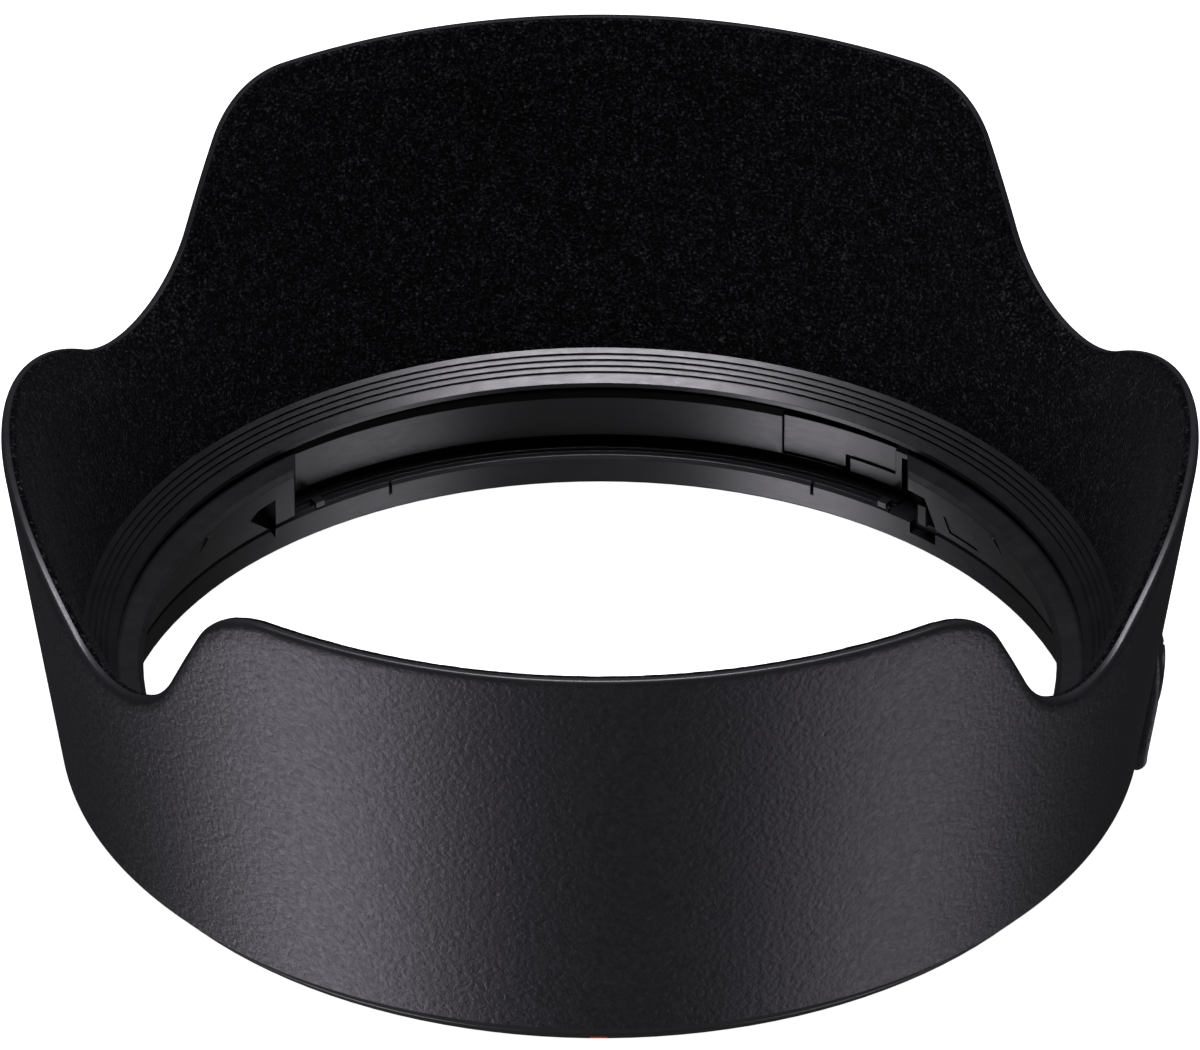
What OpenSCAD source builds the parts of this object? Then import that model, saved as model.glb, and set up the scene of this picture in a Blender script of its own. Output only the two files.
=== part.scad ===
// Petal lens hood with a bayonet collar and a push-button lock.
// Z is the optical axis, the rear rim stands on z = 0 and the petals point up.
// Azimuths are in degrees from +X: the long petals are at -90 (front) and +90
// (back), the short ones at 0 and 180, and the lock is on the +X side.

/* [Shell] */
// Radius that the outer cone has at the rear plane
shell_r = 41.95; // [41.95:0.05:42.3]
// Growth of the outer radius for each millimetre of height
shell_flare = 0.158; // [0.154:0.002:0.166]
// Thickness of the outer wall
shell_wall = 0.9; // [0.8:0.02:0.9]
// Height at which the rear bevel meets the outer wall
rear_bevel_z = 2.3; // [2.15:0.05:2.4]

/* [Petals] */
// Height of the front and back petals
long_petal_z = 38.1; // [37.5:0.1:38.7]
// Height of the side petals
side_petal_z = 30.35; // [30:0.05:30.7]
// Height of the lowest point of the notches between petals
notch_z = 22.7; // [22.4:0.05:23]
// Azimuth of the notch's lowest point, counted from the front or back axis
notch_at = 56.9; // [56.5:0.1:57.5]
// Steepness of a long petal's flanks, in degrees
flank_slope = 58; // [57:0.5:59]
// Azimuth at which a flank has the height flank_z, from the front or back axis
flank_at = 44; // [43.7:0.1:44.2]
// Height of that point
flank_z = 29.75; // [29.5:0.05:30]
// Radius of a long petal's corners
corner_r = 8.3; // [7.6:0.1:8.6]
// Width of the bevelled margin inside the rim
margin_w = 3.2; // [2.8:0.1:3.4]
// Wall thickness left at the rim
rim_t = 0.8; // [0.7:0.05:1]

/* [Collar] */
// Radius of the collar's bore, which takes the lens barrel
bore_r = 37.85; // [37.8:0.05:37.9]
// Height of the rear flange
flange_h = 2.6; // [2.5:0.05:2.7]
// Smallest radius of the bayonet blocks
block_r = 35.75; // [35.5:0.05:36]
// Azimuth at which each block ends, from the X axis
block_end = 50; // [49.5:0.25:50.5]

/* [Lock] */
// Azimuth of the release button
button_at = 10.25; // [9.75:0.25:10.75]
// Distance that the button travels
button_travel = 1; // [0.8:0.1:1]
// Radius of the lever's pivot pin
pin_r = 0.6; // [0.55:0.01:0.6]

/* [Hidden] */
$fn = 96;
EPS = 0.01;

shell_black = [0.07, 0.07, 0.075];
satin_black = [0.11, 0.11, 0.12];
flock_black = [0.03, 0.03, 0.032];
steel_grey = [0.62, 0.63, 0.65];
mark_orange = [0.85, 0.25, 0.08];

// Assembly levels, from the rear plane up
ring_top = 7.4;
block_top = 8.5;
ledge_top = 8.7;
rib_seat_z = 11.2;
liner_top = 29.4;
liner_joint_z = 18;

// Inner wall: the liner's face is a cone that starts at the ribbed ring
flock_t = 0.4;
liner_r = 40.9;
liner_flare = 0.214;
joint_gap = 0.03;

function outer_at(z) = shell_r + shell_flare * z;
function wall_at(z) = outer_at(z) - shell_wall;
function liner_at(z) = liner_r + liner_flare * (z - rib_seat_z);

// Radial placement: 2D x becomes the tangent, 2D y becomes Z, and the extrusion runs outwards
module radial(at, from, to, z = 0) {
    rotate([0, 0, at]) translate([from, 0, z]) rotate([90, 0, 90]) linear_extrude(to - from) children();
}
// A piece of a ring with a rectangular section
module band(a0, a1, r0, r1, z0, z1) {
    rotate([0, 0, a0]) rotate_extrude(angle = a1 - a0) translate([r0, z0]) square([r1 - r0, z1 - z0]);
}
// Oblong with round ends along 2D x
module oblong(w, h) {
    square([w - h, h], center = true);
    for (side = [-1, 1]) translate([side * (w - h) / 2, 0]) circle(d = h);
}

// ---- Petal outline -------------------------------------------------------
// The outline is drawn on the unrolled cone, u along the rim and z up: a flat
// top, a corner arc, a straight flank, a notch arc and the side petal's arc.
// Each touches the next, so the notch's and the side petal's radii follow.
unroll = 47 * PI / 180;
flank_u = unroll * flank_at;
notch_u = unroll * notch_at;
side_u = unroll * 90;
flank_n = [sin(flank_slope), cos(flank_slope)];
corner_c = [flank_u - (corner_r + (long_petal_z - corner_r - flank_z) * flank_n[1]) / flank_n[0],
    long_petal_z - corner_r];
notch_r = ((notch_u - flank_u) * flank_n[0] + (notch_z - flank_z) * flank_n[1]) / (1 - flank_n[1]);
notch_c = [notch_u, notch_z + notch_r];
side_k = notch_c[1] - side_petal_z;
side_r = (pow(side_u - notch_u, 2) + pow(side_k, 2) - pow(notch_r, 2)) / (2 * (notch_r - side_k));
side_c = [side_u, side_petal_z - side_r];

function corner_end(d) = corner_c[0] + (corner_r - d) * flank_n[0];
function notch_start(d) = notch_c[0] - (notch_r + d) * flank_n[0];
function notch_end(d) = notch_c[0] + (notch_r + d) * (side_c[0] - notch_c[0]) / (notch_r + side_r);

// Height of the outline moved d into the material, at the distance u from a long petal's middle
function petal_z(u, d) =
    u <= corner_c[0] ? long_petal_z - d
    : u <= corner_end(d) ? corner_c[1] + sqrt(pow(corner_r - d, 2) - pow(u - corner_c[0], 2))
    : u <= notch_start(d) ? flank_z - (d + (u - flank_u) * flank_n[0]) / flank_n[1]
    : u <= notch_end(d) ? notch_c[1] - sqrt(pow(notch_r + d, 2) - pow(u - notch_c[0], 2))
    : side_c[1] + sqrt(pow(side_r - d, 2) - pow(side_c[0] - u, 2));

function steps(from, to, n) = [for (i = [0:n - 1]) from + (to - from) * i / n];
quarter_u = concat(steps(0, corner_c[0], 6), steps(corner_c[0], corner_end(0), 6),
    steps(corner_end(0), notch_start(0), 3), steps(notch_start(0), notch_end(0), 8),
    steps(notch_end(0), side_u, 7));
turn_u = concat(quarter_u, [side_u], [for (i = [len(quarter_u) - 1:-1:1]) quarter_u[i]]);
// [azimuth, u] of each station, once round the hood
stations = concat([for (i = [0:len(turn_u) - 1]) [-90 + (i <= len(quarter_u) ? turn_u[i] : 2 * side_u - turn_u[i])
        / unroll, turn_u[i]]],
    [for (i = [0:len(turn_u) - 1]) [90 + (i <= len(quarter_u) ? turn_u[i] : 2 * side_u - turn_u[i])
        / unroll, turn_u[i]]]);

// Closed ring whose section at each station is a list of [r, z] points
module station_ring(sections) {
    n = len(sections);
    m = len(sections[0]);
    polyhedron(
        points = [for (i = [0:n - 1]) for (p = sections[i])
            [p[0] * cos(stations[i][0]), p[0] * sin(stations[i][0]), p[1]]],
        faces = [for (i = [0:n - 1]) for (j = [0:m - 1])
            let (a = i * m + j, b = i * m + (j + 1) % m, c = ((i + 1) % n) * m + j, e = ((i + 1) % n) * m + (j + 1) % m)
            for (t = [[a, b, c], [b, e, c]]) t]);
}

function rim_z(s) = petal_z(s[1], 0);
function rim_in(s) = [outer_at(rim_z(s)) - rim_t, rim_z(s)];
function fold(s) = let (z = petal_z(s[1], margin_w)) [liner_at(z), z];

// Everything above the rim: margin bevel inside, flat rim, chamfer outside
rim_chamfer = [0.45, 0.8];
module above_rim() {
    reach = 2;
    top = long_petal_z + 4;
    station_ring([for (s = stations) let (k = rim_in(s), f = fold(s), z = rim_z(s), r = outer_at(z))
        [2 * f - k, k, [r - rim_chamfer[0], z],
            [r + reach, z - (reach + rim_chamfer[0]) * rim_chamfer[1] / rim_chamfer[0]],
            [outer_at(top) + reach, top], [2 * f[0] - k[0], top]]]);
}

// ---- Outer shell ---------------------------------------------------------
ledge_r = 40.45;
shell_z = 1.25;
boss_z = [1, 12.4];
boss_az = [-6.5, 27];
boss_proud = 0.8;
boss_full_z = [1.9, 6.6];
button_z = 4.7;
button_w = 13;
button_h = 5;
window_gap = 0.15;
press_r = [41.5, 42.05];
press_w = 15.4;
press_h = 6;
lever_z = [2.5, 5.9];
claw_az = [36, 55];
claw_room_r = 41.95;

module shell_section() {
    polygon(concat(
        [[wall_at(shell_z), shell_z], [wall_at(shell_z) + 0.1, shell_z], [outer_at(rear_bevel_z), rear_bevel_z]],
        [[outer_at(long_petal_z + 1), long_petal_z + 1], [liner_at(long_petal_z + 1), long_petal_z + 1],
            [liner_at(liner_top), liner_top], [wall_at(liner_top), liner_top],
            [wall_at(ledge_top), ledge_top], [ledge_r, ledge_top], [ledge_r, ring_top],
            [wall_at(ring_top), ring_top]]));
}
module boss() {
    // Its top fades into the wall through a shallow arc
    fade = [for (i = [0:5]) let (t = i / 5, z = boss_full_z[1] + t * (boss_z[1] - boss_full_z[1]))
        [outer_at(z) + boss_proud * (1 - t * t), z]];
    rotate([0, 0, boss_az[0]]) rotate_extrude(angle = boss_az[1] - boss_az[0]) polygon(concat(
        [[wall_at(boss_z[0]) + 0.5, boss_z[0]], [outer_at(boss_z[0]), boss_z[0]],
            [outer_at(boss_full_z[0]) + boss_proud, boss_full_z[0]]],
        fade, [[wall_at(boss_z[1]) + 0.5, boss_z[1]]]));
}
module outer_shell() color(shell_black) difference() {
    union() {
        rotate_extrude() shell_section();
        boss();
    }
    above_rim();
    radial(button_at, 40, 47, button_z) oblong(button_w + 2 * window_gap, button_h + 2 * window_gap);
    intersection() {
        radial(button_at, 38, 45) translate([-press_w / 2 - 0.3, button_z - press_h / 2 - 0.5])
            square([press_w + 0.6, ledge_top + 0.2 - button_z + press_h / 2 + 0.5]);
        // Above the plate the room leans outwards with the wall
        rotate_extrude() polygon([[0, 0], [press_r[1] + 0.05, 0], [press_r[1] + 0.05, 5.5],
            [press_r[1] + 0.05 + shell_flare * 6.5, 12], [0, 12]]);
    }
    band(claw_az[0], claw_az[1], 38, claw_room_r, lever_z[0] - 0.3, lever_z[1] + 0.3);
}

// ---- Inner shell and its flocking ---------------------------------------
module inner_shell() color(satin_black) difference() {
    rotate_extrude() polygon([[liner_at(rib_seat_z), rib_seat_z], [liner_at(liner_top), liner_top],
        [wall_at(liner_top) - joint_gap, liner_top], [wall_at(liner_joint_z) - joint_gap, liner_joint_z],
        [liner_at(rib_seat_z) + 1, rib_seat_z]]);
    above_rim();
}

module flock_lining() color(flock_black) {
    skin = 0.02;
    drop = 0.12;
    station_ring([for (s = stations) let (k = rim_in(s), f = fold(s))
        [[liner_at(rib_seat_z) - flock_t, rib_seat_z + EPS], [liner_at(rib_seat_z) - skin, rib_seat_z + EPS],
            [f[0] - skin, f[1]], [k[0] - skin, k[1]], [k[0] - flock_t, k[1]],
            [liner_at(f[1] - drop) - flock_t, f[1] - drop]]]);
}

// ---- Ribbed ring ---------------------------------------------------------
lip_r = 37.85;
lip_z = 9.55;
rib_r = liner_r - flock_t;
screw_az = [-42, -8, 150, 210];
screw_r = 0.55;
screw_at = 39;
screw_top = 9.2;

module ribbed_ring() color(satin_black) {
    grooves = 4;
    groove = 0.22;
    slope = (rib_seat_z - lip_z) / (rib_r - lip_r);
    difference() {
        union() {
            rotate_extrude() difference() {
                polygon([[lip_r, lip_z - 0.4], [lip_r, lip_z], [rib_r, rib_seat_z], [42.2, rib_seat_z],
                    [42.2, ledge_top], [lip_r + 2.2, ledge_top]]);
                for (i = [0:grooves - 1]) let (r = rib_r - 0.5 - i * 0.45)
                    translate([r, lip_z + (r - lip_r) * slope]) rotate(atan(slope)) square([groove, 2 * groove], center = true);
            }
            for (a = screw_az) rotate([0, 0, a]) translate([screw_at, 0, block_top])
                cylinder(r = 1, h = lip_z - 0.3 - block_top);
        }
        for (a = screw_az) rotate([0, 0, a]) translate([screw_at, 0, 0]) cylinder(r = screw_r + 0.02, h = screw_top + 0.2);
    }
}

// ---- Bayonet collar ------------------------------------------------------
track_r = 39.7;
ring_r = 41;
rear_r = 40.2;
head_r = 0.7;
head_h = 0.8;
pivot_at = 33;
pivot_r = 39.8;
spring_seat_r = 37.7;
spring_z = 4.2;
plate_az = [60.8, 68.6];
plate_z = 3.6;
strip_z = 4.8;
strip_end = 54;
claw_window_az = [45.2, 53];
cover_az = [37.4, 42.4];
cover_z = [3.6, 5.4];
block_edge_z = 8.2;
function block_at(z) = bore_r - (z - flange_h) * (bore_r - block_r) / (block_edge_z - flange_h);

module at_pivot() rotate([0, 0, pivot_at]) translate([pivot_r, 0, 0]) children();

module collar_blank() {
    chamfer = 0.25;
    difference() {
        rotate_extrude() difference() {
            polygon([[bore_r + chamfer, 0], [rear_r, 0], [ring_r, 0.9], [ring_r, ring_top], [track_r + 0.35, ring_top],
                [track_r, ring_top - 0.45], [track_r, flange_h], [bore_r + 0.22, flange_h],
                [bore_r, flange_h - 0.3], [bore_r, chamfer]]);
            translate([38.25, flange_h - 0.35]) square([0.9, 1]);
        }
        // Each channel's wall is undercut above the flange
        for (side = [0, 180]) band(side + block_end + 2, side + 178 - block_end, 39.25, 40.3, flange_h - 0.1, 3.45);
    }
    // Two bayonet blocks, one on each side, with a sloping inner face and flat ends
    for (side = [0, 180]) rotate([0, 0, side]) intersection() {
        rotate([0, 0, -block_end - 4]) rotate_extrude(angle = 2 * block_end + 8)
            polygon([[bore_r + 0.8, 1.6], [bore_r + 0.35, flange_h - 0.3], [block_at(flange_h + 0.15), flange_h + 0.15],
                [block_r, block_edge_z], [block_r + 0.45, block_top], [track_r + 0.1, block_top],
                [track_r + 0.1, 1.6]]);
        translate([bore_r * cos(block_end), -50, 0]) cube([20, 100, 20]);
    }
}
module collar_ribs() {
    // Small pips on the flange and on the blocks' lips
    for (a = [90 - 36.1, 90 + 36.1]) band(a - 0.6, a + 0.6, bore_r, bore_r + 0.9, flange_h - 0.1, flange_h + 0.4);
    for (a = [30, 150]) rotate([0, 0, a - 0.4]) rotate_extrude(angle = 0.8)
        polygon([[block_at(6) + 0.2, 6.1], [block_at(6) - 0.2, 6.4], [block_r - 0.2, block_edge_z - 0.1],
            [block_r + 0.3, block_edge_z]]);
}
// The index inlay sits in the bevel of the rear edge, at the front
module mark_room() translate([-0.65, -41.3, -0.5]) cube([1.3, 1.45, 0.85]);
module index_mark() color(mark_orange) intersection() {
    rotate([0, 0, -95]) rotate_extrude(angle = 10) polygon([[39, 0], [rear_r, 0], [ring_r, 0.9], [39, 0.9]]);
    mark_room();
}
module lever_room() {
    band(2.5, claw_window_az[1] - 0.1, 39.4, 43, lever_z[0] - 0.2, lever_z[1] + 0.2);
    band(2.4, 27, 38.4, 40.2, lever_z[0] - 0.25, lever_z[1] + 0.25);
    at_pivot() translate([0, 0, lever_z[0] - 0.3]) cylinder(r = 1.5, h = lever_z[1] - lever_z[0] + 0.6);
}
module plate_room(gap) {
    band(plate_az[0] - gap, plate_az[1] + gap, 39, 43, plate_z - gap, 9);
    band(strip_end - gap, plate_az[0] + 1, 38.9, 43.1, strip_z - gap, 9.1);
}

module mount_ring() color(satin_black) difference() {
    union() {
        collar_blank();
        collar_ribs();
    }
    lever_room();
    mark_room();
    band(-2, 23, 40.2, 43, 1.3, 9);
    band(claw_window_az[0], claw_window_az[1], 34, 41.5, lever_z[0] - 0.25, 6.5);
    band(claw_window_az[0] + 0.3, block_end - 0.4, 33.8, 38.6, 1.3, 3);
    plate_room(0.1);
    band(plate_az[0] - 0.75, plate_az[0] + 0.5, 38.8, 40.6, plate_z - 0.2, strip_z);
    band(cover_az[0] - 0.15, cover_az[1] + 0.15, 34, 38.4, cover_z[0] - 0.1, cover_z[1] + 0.1);
    radial(button_at, spring_seat_r, 39, spring_z) circle(r = 1.45);
    at_pivot() translate([0, 0, -1]) cylinder(r = pin_r + 0.01, h = 7.85);
    for (a = screw_az) rotate([0, 0, a]) translate([screw_at, 0, -1]) {
        cylinder(r = head_r + 0.1, h = 1 + head_h + 0.1);
        cylinder(r = screw_r + 0.12, h = 10);
    }
    // Hairline slots in the flange and the tapered pocket beside the left-hand stop
    for (a = [90 - 26.3, 90 + 26.3]) band(a - 0.2, a + 0.2, bore_r - 1, bore_r + 0.6, 1.5, 4);
    translate([0, 29, 0]) rotate([90, 0, 0]) linear_extrude(9) polygon([[-25.83, 1.5], [-25.83, 6.3],
        [-27.15, 6.1], [-27.8, 5.3]]);
}

module ring_screws() color(steel_grey) for (a = screw_az) rotate([0, 0, a]) translate([screw_at, 0, 0]) difference() {
    union() {
        translate([0, 0, 0.1]) cylinder(r = head_r, h = head_h);
        translate([0, 0, 0.1]) cylinder(r = screw_r, h = screw_top - 0.1);
    }
    for (turn = [0, 90]) rotate([0, 0, turn]) translate([-0.5, -0.12, -0.4]) cube([1, 0.24, 0.9]);
}

module keeper_plate() color(satin_black) difference() {
    band(strip_end, plate_az[1], track_r + 0.2, ring_r - 0.1, plate_z, ring_top - 0.35);
    band(block_end, plate_az[0], track_r, ring_r, plate_z - 1, strip_z);
}

module pocket_cover() color(satin_black) {
    sunk = 0.12;
    rotate([0, 0, cover_az[0]]) rotate_extrude(angle = cover_az[1] - cover_az[0])
        polygon([[block_at(cover_z[0]) + sunk, cover_z[0]], [38.4, cover_z[0]], [38.4, cover_z[1]],
            [block_at(cover_z[1]) + sunk, cover_z[1]]]);
}

// ---- Lock ----------------------------------------------------------------
arm_r = [40, 40.8];
tooth_r = 37.8;
claw_top = 4.5;
tip_r = 40.83;

module lock_lever() color(satin_black) difference() {
    union() {
        difference() {
            band(7, 51.7, arm_r[0], arm_r[1], lever_z[0], lever_z[1]);
            band(45.8, 53, arm_r[0] - 1, arm_r[1] + 1, claw_top, lever_z[1] + 1);
        }
        at_pivot() translate([0, 0, lever_z[0] - 0.05]) cylinder(r = 1, h = lever_z[1] - lever_z[0] + 0.1);
        // Catch with a steep leading flank
        rotate([0, 0, 47.7]) translate([0, 0, lever_z[0] + 0.1]) linear_extrude(claw_top - lever_z[0] - 0.2)
            polygon([[arm_r[0] + 0.2, -1.2], [tooth_r, -0.4], [tooth_r, 0.4], [arm_r[0] + 0.2, 1]]);
    }
    at_pivot() cylinder(r = pin_r + 0.05, h = 12);
}

module lever_pin() color(steel_grey) at_pivot() translate([0, 0, 0.3]) cylinder(r = pin_r, h = 6.4);

// Closed coils, one ring for each turn of the wire
module lock_spring() color(steel_grey) {
    wire = 0.15;
    turns = 5;
    span = arm_r[0] - spring_seat_r - 2 * wire - 0.1;
    rotate([0, 0, button_at]) for (i = [0:turns - 1])
        translate([spring_seat_r + 0.05 + wire + i * span / (turns - 1), 0, spring_z]) rotate([0, 90, 0])
            rotate_extrude() translate([1.05, 0]) circle(r = wire, $fn = 24);
}

module release_button() color(shell_black) {
    grip = 7;
    difference() {
        intersection() {
            radial(button_at, 41, 47, button_z) oblong(button_w, button_h);
            rotate_extrude() polygon([[press_r[0], 0], [outer_at(0) + 1.4, 0], [outer_at(12) + 1.4, 12],
                [press_r[0], 12]]);
        }
        for (i = [0:grip - 1]) rotate([0, 0, button_at + (i - (grip - 1) / 2) * 1.6])
            translate([outer_at(button_z - 4) + 1.1, -0.25, button_z - 4]) rotate([0, atan(shell_flare), 0])
                cube([2, 0.5, 8]);
    }
    intersection() {
        radial(button_at, 38, 46, button_z) oblong(press_w, press_h);
        difference() {
            cylinder(r = press_r[1], h = 20);
            translate([0, 0, -1]) cylinder(r = press_r[0], h = 22);
        }
    }
    radial(button_at, tip_r, 42, spring_z) circle(r = 1);
}

outer_shell();
inner_shell();
flock_lining();
ribbed_ring();
mount_ring();
ring_screws();
release_button();
lock_lever();
lever_pin();
lock_spring();
keeper_plate();
pocket_cover();
index_mark();
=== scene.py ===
import math

import bpy
import numpy as np
from mathutils import Matrix, Vector, noise


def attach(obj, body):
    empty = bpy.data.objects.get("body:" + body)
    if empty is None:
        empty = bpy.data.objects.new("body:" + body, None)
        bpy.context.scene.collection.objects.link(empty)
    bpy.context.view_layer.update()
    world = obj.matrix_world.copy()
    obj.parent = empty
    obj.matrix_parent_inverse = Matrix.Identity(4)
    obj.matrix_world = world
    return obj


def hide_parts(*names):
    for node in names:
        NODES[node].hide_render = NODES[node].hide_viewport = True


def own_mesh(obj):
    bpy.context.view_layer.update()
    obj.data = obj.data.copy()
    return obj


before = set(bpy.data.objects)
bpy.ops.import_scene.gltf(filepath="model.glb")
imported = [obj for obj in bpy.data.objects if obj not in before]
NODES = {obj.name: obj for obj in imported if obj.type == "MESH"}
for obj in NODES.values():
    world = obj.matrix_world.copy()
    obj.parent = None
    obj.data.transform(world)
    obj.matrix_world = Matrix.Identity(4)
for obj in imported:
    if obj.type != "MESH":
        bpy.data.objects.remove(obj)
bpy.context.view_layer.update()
MM = 0.001

# ---------------------------------------------------------------- dimensions, in mm
SHELL_R, FLARE, WALL, REAR_Z, BEVEL_Z = 41.95, 0.158, 0.9, 1.25, 2.3
LONG_Z, SIDE_Z, NOTCH_Z, NOTCH_AT = 38.1, 30.35, 22.7, 56.9
FLANK_SLOPE, FLANK_AT, FLANK_Z, CORNER_R = math.radians(58), 44.0, 29.75, 8.3
MARGIN, RIM_T, CHAMFER = 3.2, 0.8, (0.45, 0.8)
LINER_R, LINER_FLARE, SEAT_Z, LINER_TOP, FLOCK_T = 40.9, 0.214, 11.2, 29.4, 0.4
LEDGE_R, LEDGE_TOP, RING_TOP = 40.45, 8.7, 7.4
# The boss rises from BOSS_Z[0], is full height between BOSS_FULL_Z and fades out at BOSS_Z[1]
BOSS_AZ, BOSS_Z, BOSS_FULL_Z, BOSS_PROUD = (-6.5, 27.0), (1.0, 12.4), (1.9, 6.6), 0.8
BOSS_END_ROUND, BOSS_MEAN_R = 0.3, 44
BUTTON_AT, BUTTON_Z, WINDOW_LENGTH, WINDOW_HEIGHT = 10.25, 4.7, 13.3, 5.3
# Rooms cut in the shell for the button's plate and for the lever's claw: azimuths, radii and heights
PLATE_ROOM = (BUTTON_AT - 10.9, BUTTON_AT + 10.9, 38, 42.1, 1.2, 8.9)
CLAW_ROOM = (36, 55, 38, 41.95, 2.2, 6.2)
RIM_STEPS, COLUMN_STEP = 6, 0.3


def outer_at(z):
    return SHELL_R + FLARE * z


def wall_at(z):
    return outer_at(z) - WALL


def liner_at(z):
    return LINER_R + LINER_FLARE * (z - SEAT_Z)


# Petal outline on the unrolled cone: flat top, corner arc, flank, notch arc, side arc
UNROLL = 47 * math.pi / 180
FLANK_U, NOTCH_U, SIDE_U = UNROLL * FLANK_AT, UNROLL * NOTCH_AT, UNROLL * 90
FN = (math.sin(FLANK_SLOPE), math.cos(FLANK_SLOPE))
CORNER_C = (FLANK_U - (CORNER_R + (LONG_Z - CORNER_R - FLANK_Z) * FN[1]) / FN[0], LONG_Z - CORNER_R)
NOTCH_R = ((NOTCH_U - FLANK_U) * FN[0] + (NOTCH_Z - FLANK_Z) * FN[1]) / (1 - FN[1])
NOTCH_C = (NOTCH_U, NOTCH_Z + NOTCH_R)
SIDE_K = NOTCH_C[1] - SIDE_Z
SIDE_R = ((SIDE_U - NOTCH_U) ** 2 + SIDE_K**2 - NOTCH_R**2) / (2 * (NOTCH_R - SIDE_K))
SIDE_C = (SIDE_U, SIDE_Z - SIDE_R)


def petal_z(u, d):
    """Height of the outline moved d into the material, u mm along the rim from a long petal's middle."""
    if u <= CORNER_C[0]:
        return LONG_Z - d
    if u <= CORNER_C[0] + (CORNER_R - d) * FN[0]:
        return CORNER_C[1] + math.sqrt((CORNER_R - d) ** 2 - (u - CORNER_C[0]) ** 2)
    if u <= NOTCH_C[0] - (NOTCH_R + d) * FN[0]:
        return FLANK_Z - (d + (u - FLANK_U) * FN[0]) / FN[1]
    if u <= NOTCH_C[0] + (NOTCH_R + d) * (SIDE_C[0] - NOTCH_C[0]) / (NOTCH_R + SIDE_R):
        return NOTCH_C[1] - math.sqrt((NOTCH_R + d) ** 2 - (u - NOTCH_C[0]) ** 2)
    return SIDE_C[1] + math.sqrt((SIDE_R - d) ** 2 - (SIDE_C[0] - u) ** 2)


def outline(az, d=0.0):
    """The same height by azimuth in degrees."""
    phi = (az + 90) % 180
    return petal_z(UNROLL * min(phi, 180 - phi), d)


def rim_corner(az):
    """Where the rim's flat top meets the bevelled margin inside the petal."""
    z = outline(az)
    return (outer_at(z) - RIM_T, z)


def fold(az):
    """Where the bevelled margin meets the liner's cone."""
    z = outline(az, MARGIN)
    return (liner_at(z), z)


def between(p, q, t):
    """The point at t on the way from p to q."""
    return tuple(a + (b - a) * t for a, b in zip(p, q))


# ---------------------------------------------------------------- mesh helpers
def new_object(name, verts, faces, body, sharp, mats, face_mats=None):
    mesh = bpy.data.meshes.new(name)
    mesh.from_pydata([tuple(v) for v in verts], [], faces)
    obj = bpy.data.objects.new(name, mesh)
    bpy.context.scene.collection.objects.link(obj)
    for m in mats:
        mesh.materials.append(m)
    if face_mats is not None:
        mesh.polygons.foreach_set("material_index", face_mats)
    finish_mesh(mesh, sharp)
    if body:
        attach(obj, body)
    return obj


def finish_mesh(mesh, sharp):
    mesh.validate()
    mesh.shade_smooth()
    if sharp is not None:
        mesh.set_sharp_from_angle(angle=math.radians(sharp))
    mesh.update()


def ring_of_sections(azimuths, sections):
    """Vertices in metres and quads of a closed ring: one closed [r, z] section at each azimuth."""
    s = np.array(sections, float)
    a = np.radians(np.array(azimuths, float))[:, None]
    v = np.stack([s[:, :, 0] * np.cos(a), s[:, :, 0] * np.sin(a), s[:, :, 1]], axis=2) * MM
    n, m = s.shape[0], s.shape[1]
    i, j = np.meshgrid(np.arange(n), np.arange(m), indexing="ij")
    i_next, j_next = (i + 1) % n, (j + 1) % m
    f = np.stack([i * m + j, i_next * m + j, i_next * m + j_next, i * m + j_next], axis=2)
    return v.reshape(-1, 3), f.reshape(-1, 4)


def sector(a0, a1, r0, r1, z0, z1, n=24):
    """A closed piece of a ring with a rectangular section, as vertices and faces."""
    az = np.linspace(a0, a1, n)
    v, f = [], []
    for a in az:
        c, s = math.cos(math.radians(a)), math.sin(math.radians(a))
        v += [(r * c * MM, r * s * MM, z * MM) for r, z in ((r0, z0), (r1, z0), (r1, z1), (r0, z1))]
    for i in range(n - 1):
        for j in range(4):
            f.append((i * 4 + j, i * 4 + (j + 1) % 4, (i + 1) * 4 + (j + 1) % 4, (i + 1) * 4 + j)[::-1])
    f += [(0, 1, 2, 3), tuple(range(4 * n - 1, 4 * n - 5, -1))]
    return v, f


def cut_away(obj, verts, faces):
    """Subtracts a closed cutter from obj."""
    mesh = bpy.data.meshes.new("cutter")
    mesh.from_pydata([tuple(v) for v in verts], [], [tuple(f) for f in faces])
    mesh.shade_smooth()
    cutter = bpy.data.objects.new("cutter", mesh)
    bpy.context.scene.collection.objects.link(cutter)
    mod = obj.modifiers.new("cut", "BOOLEAN")
    mod.operation, mod.solver, mod.object = "DIFFERENCE", "EXACT", cutter
    bpy.context.view_layer.update()
    cut = bpy.data.meshes.new_from_object(obj.evaluated_get(bpy.context.evaluated_depsgraph_get()))
    obj.modifiers.remove(mod)
    cut.name = obj.name
    obj.data = cut
    bpy.data.objects.remove(cutter)


# ---------------------------------------------------------------- materials
def material(name):
    mat = bpy.data.materials.new(name)
    mat.use_nodes = True
    tree = mat.node_tree
    return mat, tree, tree.nodes["Principled BSDF"]


def add(tree, kind, **values):
    node = tree.nodes.new(kind)
    for key, value in values.items():
        if key in node.inputs:
            node.inputs[key].default_value = value
        else:
            setattr(node, key, value)
    return node


def noise_tex(tree, coords, size_mm, detail=2.0, rough=0.5, distortion=0.0, stretch=None):
    """Noise whose features are about size_mm across."""
    node = add(tree, "ShaderNodeTexNoise", Scale=1.0 / (size_mm * MM), Detail=detail, Roughness=rough,
               Distortion=distortion)
    if stretch:
        mapping = add(tree, "ShaderNodeMapping", Scale=stretch)
        tree.links.new(coords, mapping.inputs["Vector"])
        coords = mapping.outputs["Vector"]
    tree.links.new(coords, node.inputs["Vector"])
    return node.outputs["Fac"]


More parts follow.
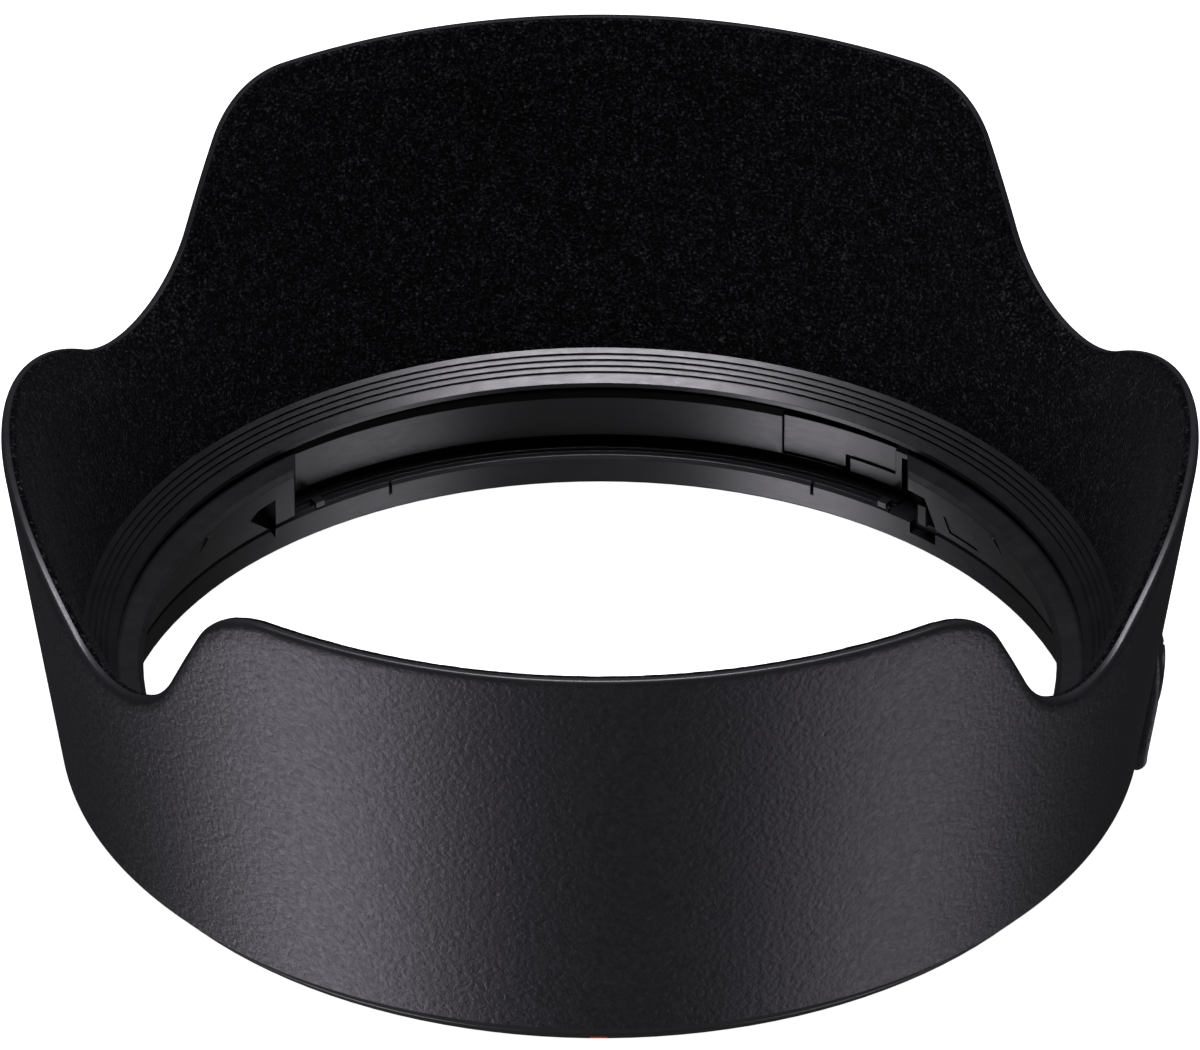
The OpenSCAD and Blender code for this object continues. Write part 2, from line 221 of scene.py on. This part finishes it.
def cells(tree, coords, size_mm, feature="F1"):
    """Distance to the middle of cells about size_mm across."""
    node = add(tree, "ShaderNodeTexVoronoi", feature=feature, Scale=1.0 / (size_mm * MM))
    tree.links.new(coords, node.inputs["Vector"])
    return node.outputs["Distance"]


def ramp(tree, fac, stops):
    """Colour ramp with (position, colour or grey) stops."""
    node = tree.nodes.new("ShaderNodeValToRGB")
    els = node.color_ramp.elements
    while len(els) < len(stops):
        els.new(0.5)
    for el, (pos, col) in zip(els, stops):
        el.position = pos
        el.color = (*col, 1) if isinstance(col, tuple) else (col, col, col, 1)
    tree.links.new(fac, node.inputs["Fac"])
    return node.outputs["Color"]


def span(tree, fac, lo, hi):
    """Stretches the usual range of a noise to lo..hi."""
    node = add(tree, "ShaderNodeMapRange")
    node.inputs["From Min"].default_value = 0.3
    node.inputs["From Max"].default_value = 0.7
    node.inputs["To Min"].default_value = lo
    node.inputs["To Max"].default_value = hi
    tree.links.new(fac, node.inputs["Value"])
    return node.outputs["Result"]


def mathop(tree, op, a, b):
    node = add(tree, "ShaderNodeMath", operation=op)
    for socket, value in zip(node.inputs, (a, b)):
        if isinstance(value, (int, float)):
            socket.default_value = value
        else:
            tree.links.new(value, socket)
    return node.outputs[0]


def weighted(tree, *parts):
    """Sum of sockets, each given as (socket, weight)."""
    total = None
    for socket, weight in parts:
        part = mathop(tree, "MULTIPLY", socket, weight)
        total = part if total is None else mathop(tree, "ADD", total, part)
    return total


def bump(tree, height, depth_mm, normal=None):
    node = add(tree, "ShaderNodeBump", Strength=1.0, Distance=depth_mm * MM)
    tree.links.new(height, node.inputs["Height"])
    if normal is not None:
        tree.links.new(normal, node.inputs["Normal"])
    return node.outputs["Normal"]


def soft_edges(tree, radius_mm):
    node = add(tree, "ShaderNodeBevel", samples=4, Radius=radius_mm * MM)
    return node.outputs["Normal"]


def object_coords(tree):
    return tree.nodes.new("ShaderNodeTexCoord").outputs["Object"]


def scaled(color, k):
    return tuple(k * x for x in color)


def shell_plastic():
    """Moulded black plastic with a fine leathery grain and an uneven gloss that follows it."""
    mat, t, p = material("shell_leather_grain")
    c = object_coords(t)
    wrinkle = noise_tex(t, c, 0.5, 3.0, 0.6, 0.5)
    pebble = cells(t, c, 0.45, "SMOOTH_F1")
    fine = noise_tex(t, c, 0.2, 2.0, 0.6)
    height = weighted(t, (wrinkle, 0.9), (pebble, 0.45), (fine, 0.3))
    t.links.new(bump(t, height, 0.06), p.inputs["Normal"])
    drift = noise_tex(t, c, 14, 2.0)
    base = ramp(t, weighted(t, (wrinkle, 0.6), (drift, 0.4)),
                [(0.3, (0.0085, 0.0083, 0.0092)), (0.7, (0.0145, 0.0140, 0.0155))])
    t.links.new(base, p.inputs["Base Color"])
    t.links.new(span(t, wrinkle, 0.38, 0.51), p.inputs["Roughness"])
    p.inputs["Specular IOR Level"].default_value = 0.5
    p.inputs["Specular Tint"].default_value = (1.0, 0.96, 1.06, 1)
    return mat


def smooth_plastic(name, color, rough, grain_mm, depth, edge=0.0, gloss=0.5):
    """Satin moulded plastic: faint flow marks, fine grain and slightly uneven gloss."""
    mat, t, p = material(name)
    c = object_coords(t)
    grain = noise_tex(t, c, grain_mm, 3.0, 0.6)
    flow = noise_tex(t, c, 5.0, 3.0, 0.5, 0.8)
    scuff = noise_tex(t, c, 1.4, 4.0, 0.65, 0.3, (1.0, 1.0, 5.0))
    base = ramp(t, weighted(t, (flow, 0.7), (grain, 0.3)),
                [(0.35, scaled(color, 0.8)), (0.65, scaled(color, 1.2))])
    t.links.new(base, p.inputs["Base Color"])
    uneven = span(t, weighted(t, (scuff, 0.6), (grain, 0.4)), rough - 0.05, rough + 0.07)
    t.links.new(uneven, p.inputs["Roughness"])
    p.inputs["Specular IOR Level"].default_value = gloss
    start = soft_edges(t, edge) if edge else None
    t.links.new(bump(t, grain, depth, start), p.inputs["Normal"])
    return mat


def flocking():
    """Short upright black fibres: clumped pile, with painted glints on sparse fibre ends and painted shade
    between them.
    """
    mat, t, p = material("black_flocking")
    c = object_coords(t)
    clump = noise_tex(t, c, 0.9, 3.0, 0.6)
    pile = noise_tex(t, c, 0.26, 2.0, 0.65)
    glint_shade_cells = cells(t, c, 0.24)
    t.links.new(bump(t, weighted(t, (clump, 0.5), (pile, 0.8)), 0.2), p.inputs["Normal"])
    # Painted glints: the base colour is lighter where the pile noise is high and brightest at the cell
    # middles. The cell ramp darkens it between them as painted shade.
    painted_tip_glints = ramp(t, weighted(t, (pile, 0.75), (clump, 0.25)),
                  [(0.44, (0.0015, 0.0015, 0.0018)), (0.55, (0.012, 0.012, 0.014)),
                   (0.68, (0.062, 0.064, 0.073))])
    mix = add(t, "ShaderNodeMix", data_type="RGBA", blend_type="MULTIPLY")
    mix.inputs["Factor"].default_value = 1.0
    t.links.new(painted_tip_glints, mix.inputs["A"])
    t.links.new(ramp(t, glint_shade_cells, [(0.1, 1.0), (0.6, 0.25)]), mix.inputs["B"])
    t.links.new(mix.outputs["Result"], p.inputs["Base Color"])
    p.inputs["Roughness"].default_value = 0.95
    p.inputs["Specular IOR Level"].default_value = 0.05
    p.inputs["Sheen Weight"].default_value = 0.02
    p.inputs["Sheen Roughness"].default_value = 0.4
    p.inputs["Sheen Tint"].default_value = (0.75, 0.78, 0.9, 1)
    return mat


def turned_steel(name, color, rough):
    """Machined metal with fine turning lines and patchy wear."""
    mat, t, p = material(name)
    c = object_coords(t)
    lines = noise_tex(t, c, 0.12, 3.0, 0.6, 0.0, (1.0, 1.0, 6.0))
    wear = noise_tex(t, c, 0.5, 4.0, 0.6)
    base = ramp(t, wear, [(0.4, scaled(color, 0.75)), (0.7, scaled(color, 1.25))])
    t.links.new(base, p.inputs["Base Color"])
    t.links.new(span(t, lines, rough - 0.06, rough + 0.08), p.inputs["Roughness"])
    p.inputs["Metallic"].default_value = 1.0
    t.links.new(bump(t, lines, 0.004, soft_edges(t, 0.05)), p.inputs["Normal"])
    return mat


def mark_paint():
    mat, t, p = material("orange_mark")
    c = object_coords(t)
    mottle = noise_tex(t, c, 0.25, 3.0, 0.6)
    base = ramp(t, mottle, [(0.35, (0.52, 0.075, 0.02)), (0.65, (0.75, 0.14, 0.035))])
    t.links.new(base, p.inputs["Base Color"])
    t.links.new(span(t, mottle, 0.4, 0.55), p.inputs["Roughness"])
    t.links.new(bump(t, mottle, 0.01), p.inputs["Normal"])
    return mat


SHELL = shell_plastic()
RIM = smooth_plastic("shell_smooth_rim", (0.017, 0.0165, 0.0185), 0.36, 0.15, 0.003)
INSIDE = smooth_plastic("liner_satin", (0.014, 0.014, 0.015), 0.45, 0.2, 0.003, 0.1)
COLLAR = smooth_plastic("collar_satin", (0.009, 0.009, 0.0098), 0.35, 0.14, 0.002, 0.09, 0.72)
RIBS = smooth_plastic("ribbed_satin", (0.008, 0.008, 0.0086), 0.31, 0.14, 0.002, 0.05)
BUTTON = smooth_plastic("button_satin", (0.018, 0.018, 0.0195), 0.46, 0.2, 0.006, 0.15)
FLOCK = flocking()
STEEL = turned_steel("machined_steel", (0.55, 0.56, 0.58), 0.3)
BLACK_STEEL = turned_steel("blackened_steel", (0.05, 0.05, 0.055), 0.42)
MARK = mark_paint()

for node, mat in {
    "inner_shell": INSIDE, "ribbed_ring": RIBS, "mount_ring": COLLAR, "ring_screws": BLACK_STEEL,
    "release_button": BUTTON, "lock_lever": COLLAR, "lever_pin": STEEL, "keeper_plate": COLLAR,
    "pocket_cover": COLLAR, "index_mark": MARK, "outer_shell": SHELL, "flock_lining": FLOCK,
    "lock_spring": STEEL,
}.items():
    NODES[node].data.materials.clear()
    NODES[node].data.materials.append(mat)


# ---------------------------------------------------------------- outer shell
def boss_height(z):
    foot, crest = BOSS_Z
    full, fade = BOSS_FULL_Z
    if z <= foot or z >= crest:
        return 0.0
    if z < full:
        return BOSS_PROUD * (z - foot) / (full - foot)
    if z <= fade:
        return BOSS_PROUD
    return BOSS_PROUD * (1 - ((z - fade) / (crest - fade)) ** 2)


def boss_mask(az):
    """1 within the boss, 0 outside, with rounded ends."""
    a = (az + 180) % 360 - 180
    into = min(a - BOSS_AZ[0], BOSS_AZ[1] - a) * math.pi / 180 * BOSS_MEAN_R
    if into <= 0:
        return 0.0
    t = min(1.0, into / BOSS_END_ROUND)
    return math.sqrt(1 - (1 - t) ** 2)


def bezier(p0, p1, p2, t):
    return tuple((1 - t) ** 2 * a + 2 * t * (1 - t) * b + t * t * c for a, b, c in zip(p0, p1, p2))


def rim_inside(k, f):
    """Three points along the bevel from k towards f, as far as the wall or the liner's shelf."""
    shelf = (wall_at(LINER_TOP), LINER_TOP)
    t_wall = (k[0] - wall_at(k[1])) / ((k[0] - f[0]) - FLARE * (k[1] - f[1]))
    if f[1] >= LINER_TOP:
        return [f, (liner_at(LINER_TOP), LINER_TOP), shelf]
    if between(k, f, t_wall)[1] < LINER_TOP:
        return [between(k, f, t_wall * s) for s in (0.9, 0.95, 1.0)]
    t_shelf = (k[1] - LINER_TOP) / (k[1] - f[1])
    return [between(k, f, t_shelf * 0.98), between(k, f, t_shelf), shelf]


def shell_section(az):
    """Closed section of the shell, from the rear edge up the outside, over the rim and down the inside."""
    top = outline(az)
    mask = boss_mask(az)
    # The boss hides the bevel behind its own flat underside
    pts = [(wall_at(REAR_Z), REAR_Z), (wall_at(REAR_Z) + 0.1, REAR_Z)]
    bevel_foot, bevel_top = pts[1], (outer_at(BEVEL_Z), BEVEL_Z)
    for t in (0.1, 0.3, 0.5, 0.7, 0.9, 0.96, 1.0):
        r, z = between(bevel_foot, bevel_top, t)
        full = outer_at(z) + boss_height(z)
        pts.append((r + mask * (full - r), z + mask * (1 - t) * (BOSS_Z[0] - z)))
    end = top - CHAMFER[1]
    for z in WALL_ROWS + [WALL_ROWS[-1] + (end - WALL_ROWS[-1]) * i / 14 for i in range(1, 15)]:
        pts.append((outer_at(z) + mask * boss_height(z), z))
    rim = (outer_at(end), end), (outer_at(end), top - 0.05), (outer_at(top) - CHAMFER[0], top)
    pts += [bezier(*rim, i / RIM_STEPS) for i in range(1, RIM_STEPS + 1)]
    k, f = rim_corner(az), fold(az)
    pts += [(k[0] + 0.06, k[1]), (k[0] + 0.01, k[1] - 0.05)]
    pts += rim_inside(k, f)
    z_in = pts[-1][1]
    pts += [(wall_at(z), z) for z in (z_in + (LEDGE_TOP - z_in) * i / 4 for i in (1, 2, 3))]
    pts += [(wall_at(LEDGE_TOP), LEDGE_TOP), (LEDGE_R, LEDGE_TOP), (LEDGE_R, RING_TOP),
            (wall_at(RING_TOP), RING_TOP)]
    return pts


# Heights of the section's points up the outside, close together where the boss starts and fades
WALL_ROWS = [2.34, 2.42, 2.6, 3, 3.5, 4, 5, 6, 6.6, 7.2, 7.9, 8.6, 9.3, 10, 10.7, 11.4, 12, 12.38, 12.42, 13]
# Columns follow the rounded ends of the boss closely
END_STEPS = (-0.02, 0.0, 0.01, 0.03, 0.07, 0.13, 0.22, 0.39)
columns = set(np.round(np.arange(0, 360, COLUMN_STEP), 4))
for end, way in ((BOSS_AZ[0] % 360, 1), (BOSS_AZ[1], -1)):
    columns |= {round((end + way * step) % 360, 4) for step in END_STEPS}
columns = sorted(columns)
verts, faces = ring_of_sections(columns, [shell_section(a) for a in columns])
# The rear bevel and the rim are smooth, and the rest of the section has the grain
rows = len(shell_section(0))
BEVEL_FACES, RIM_FACES, INNER_FACES = 8, 9, 8
rim_rows = set(range(BEVEL_FACES)) | set(range(rows - INNER_FACES - RIM_FACES, rows - INNER_FACES))
face_mats = np.array([1 if (i % rows) in rim_rows else 0 for i in range(len(faces))], dtype=np.int32)
shell = new_object("hood_shell", verts, faces.tolist(), None, None, [SHELL, RIM], face_mats)
tangent = np.array([-math.sin(math.radians(BUTTON_AT)), math.cos(math.radians(BUTTON_AT)), 0])
outward = np.array([math.cos(math.radians(BUTTON_AT)), math.sin(math.radians(BUTTON_AT)), 0])
n, end_r = 48, WINDOW_HEIGHT / 2
oblong = []
for i in range(n):
    a = 2 * math.pi * (i + 0.5) / n
    x = math.copysign((WINDOW_LENGTH - WINDOW_HEIGHT) / 2, math.cos(a)) + end_r * math.cos(a)
    oblong.append((x, BUTTON_Z + end_r * math.sin(a)))
window = [outward * r * MM + tangent * x * MM + np.array([0, 0, z * MM]) for r in (40, 47) for x, z in oblong]
sides = [(i, (i + 1) % n, n + (i + 1) % n, n + i) for i in range(n)]
cut_away(shell, window, sides + [tuple(range(n - 1, -1, -1)), tuple(range(n, 2 * n))])
cut_away(shell, *sector(*PLATE_ROOM))
cut_away(shell, *sector(*CLAW_ROOM))
finish_mesh(shell.data, 30)
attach(shell, "hood")
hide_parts("outer_shell")


# ---------------------------------------------------------------- flocking
def flock_section(az):
    """Closed section of the pile: its back on the liner and the bevel, a wavering edge, and its face."""
    k, f = rim_corner(az), fold(az)
    skin = 0.02
    pts = [(liner_at(SEAT_Z) - skin, SEAT_Z + 0.01), (f[0] - skin, f[1]), (k[0] - skin, k[1] - 0.06)]
    wave = noise.noise(Vector((az * 1.9, 3.1, 0.0))) * 0.07 + noise.noise(Vector((az * 7.3, 9.7, 0.0))) * 0.05
    edge = (k[0] - 0.10 - abs(wave), k[1] - 0.03)
    bend = (liner_at(f[1] - 0.12) - FLOCK_T, f[1] - 0.12)
    low = (liner_at(SEAT_Z) - FLOCK_T, SEAT_Z + 0.01)
    top = (k[0] - FLOCK_T, k[1] - 0.12)
    pts.append(edge)
    pts += [between(top, bend, i / 9) for i in range(9)]
    pts += [between(bend, low, i / 26) for i in range(27)]
    return pts


def roughen(verts, n_rows, first, amount, seed):
    """Moves the rows from first on to and from the axis by smooth noise, so the pile isn't a perfect cone."""
    for i in range(len(verts)):
        row = i % n_rows
        if row < first or row == n_rows - 1:
            continue
        v = Vector(verts[i])
        p = v * 1400 + Vector((seed, 0, 0))
        d = noise.noise(p) * 0.6 + noise.noise(p * 2.7) * 0.4
        r = math.hypot(v.x, v.y)
        verts[i][:2] *= 1 + amount * MM * d / r


flock_cols = np.arange(0, 360, COLUMN_STEP)
verts, faces = ring_of_sections(flock_cols, [flock_section(a) for a in flock_cols])
roughen(verts, len(flock_section(0)), 4, 0.07, 5.0)
flipped = [tuple(f[::-1]) for f in faces.tolist()]
flock = new_object("flock_pile", verts, flipped, "hood", 50, [FLOCK])
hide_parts("flock_lining")


# ---------------------------------------------------------------- lock spring
def coil_spring(name, start, axis, side, up, length, coil_r, wire_r, turns, per_turn=28, ring=10):
    """A round-wire coil from start along axis, with closed end turns."""
    count = int(turns * per_turn)
    path = []
    for i in range(count + 1):
        t = i / count
        a = 2 * math.pi * turns * t
        lift = length * (t - 0.06 * math.sin(2 * math.pi * t))
        path.append(start + axis * lift + (side * math.cos(a) + up * math.sin(a)) * coil_r)
    v, f = [], []
    for i, p in enumerate(path):
        tangent = (path[min(i + 1, count)] - path[max(i - 1, 0)]).normalized()
        n1 = tangent.cross(axis).normalized()
        n2 = tangent.cross(n1)
        for j in range(ring):
            b = 2 * math.pi * j / ring
            v.append(p + (n1 * math.cos(b) + n2 * math.sin(b)) * wire_r)
    for i in range(count):
        for j in range(ring):
            here, ahead, j_next = i * ring, (i + 1) * ring, (j + 1) % ring
            f.append((here + j, ahead + j, ahead + j_next, here + j_next))
    f += [tuple(range(ring)), tuple(range(len(v) - 1, len(v) - ring - 1, -1))]
    return new_object(name, v, f, "hood", 40, [STEEL])


out_v, tan_v = Vector(outward), Vector(tangent)
spring_start = out_v * 37.9 * MM + Vector((0, 0, 4.2 * MM))
spring = coil_spring("lock_coil", spring_start, out_v, tan_v, Vector((0, 0, 1)), length=1.9 * MM,
                     coil_r=1.05 * MM, wire_r=0.14 * MM, turns=5)
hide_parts("lock_spring")
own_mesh(spring)


# ---------------------------------------------------------------- studio
def floor_material():
    mat, t, p = material("pale_floor")
    c = object_coords(t)
    p.inputs["Roughness"].default_value = 0.9
    p.inputs["Specular IOR Level"].default_value = 0.0
    t.links.new(ramp(t, noise_tex(t, c, 400, 2.0), [(0.3, 0.86), (0.7, 0.88)]), p.inputs["Base Color"])
    p.inputs["Emission Color"].default_value = (1, 1, 1, 1)
    p.inputs["Emission Strength"].default_value = 1.0
    return mat


floor_mesh = bpy.data.meshes.new("floor")
floor_mesh.from_pydata([(-6, -6, 0), (6, -6, 0), (6, 6, 0), (-6, 6, 0)], [], [(0, 1, 2, 3)])
floor_mesh.materials.append(floor_material())
floor = bpy.data.objects.new("floor", floor_mesh)
bpy.context.scene.collection.objects.link(floor)
floor.location.z = -0.00005
# The floor carries the object's soft shadow but doesn't mirror in it or close off the low lights
floor.visible_glossy = False
floor.visible_diffuse = False
floor.visible_shadow = False


def panel(name, direction, distance, size, power, up=(0, 0, 1), target=(0, 0, 0.018)):
    """An area light in a direction from the target, facing it, and hidden from the camera."""
    data = bpy.data.lights.new(name, "AREA")
    data.shape, data.size, data.size_y, data.energy = "RECTANGLE", size[0], size[1], power
    obj = bpy.data.objects.new(name, data)
    bpy.context.scene.collection.objects.link(obj)
    data.color = (1.0, 0.965, 1.05)
    z = Vector(direction).normalized()
    x = Vector(up).cross(z).normalized()
    y = z.cross(x)
    obj.location = Vector(target) + z * distance
    obj.rotation_mode = "QUATERNION"
    obj.rotation_quaternion = Matrix((x, y, z)).transposed().to_quaternion()
    obj.visible_camera = False


# Two strips and a weak fill light the walls from below left, below right and below in front, through
# the floor, which casts no shadow, and a box above catches the ribs
panel("left_strip", (-0.615, -0.36, -0.70), 1.0, (0.38, 1.1), 5.0, up=(0.0, -0.8, 0.6))
panel("right_strip", (0.645, -0.31, -0.70), 1.0, (0.38, 1.1), 2.5, up=(0.0, -0.8, 0.6))
panel("low_fill", (0.0, -0.91, -0.42), 1.0, (0.6, 0.25), 0.16)
panel("top_box", (0.0, -0.12, 1.0), 1.0, (0.7, 0.19), 11.0, up=(0, 1, 0))

world = bpy.data.worlds.new("studio")
bpy.context.scene.world = world
world.use_nodes = True
wt = world.node_tree
bg = wt.nodes["Background"]
bg.inputs["Color"].default_value = (1, 1, 1, 1)
path_node = wt.nodes.new("ShaderNodeLightPath")
glow = wt.nodes.new("ShaderNodeMapRange")
glow.inputs["To Min"].default_value = 0.028
glow.inputs["To Max"].default_value = 1.0
wt.links.new(path_node.outputs["Is Camera Ray"], glow.inputs["Value"])
wt.links.new(glow.outputs["Result"], bg.inputs["Strength"])

# ---------------------------------------------------------------- camera
ELEVATION, TURN, DISTANCE, WIDTH_MM, TARGET_Z = 33.38, 0.17, 1.877, 93.66, 20.34
cam_data = bpy.data.cameras.new("camera")
cam_data.sensor_width = 36
cam_data.lens = 36 * DISTANCE * 1000 / WIDTH_MM
cam_data.clip_start, cam_data.clip_end = 0.1, 50
cam_data.shift_y = 0.0053
camera = bpy.data.objects.new("camera", cam_data)
bpy.context.scene.collection.objects.link(camera)
e, turn = math.radians(ELEVATION), math.radians(TURN)
back = Vector((math.sin(turn) * math.cos(e), -math.cos(turn) * math.cos(e), math.sin(e)))
camera.location = Vector((0, 0, TARGET_Z * MM)) + back * DISTANCE
camera.rotation_mode = "QUATERNION"
camera.rotation_quaternion = (-back).to_track_quat("-Z", "Y")
bpy.context.scene.camera = camera

view = bpy.context.scene.view_settings
view.view_transform = "Standard"
view.look = "None"
view.exposure = 0.0
view.gamma = 1.0
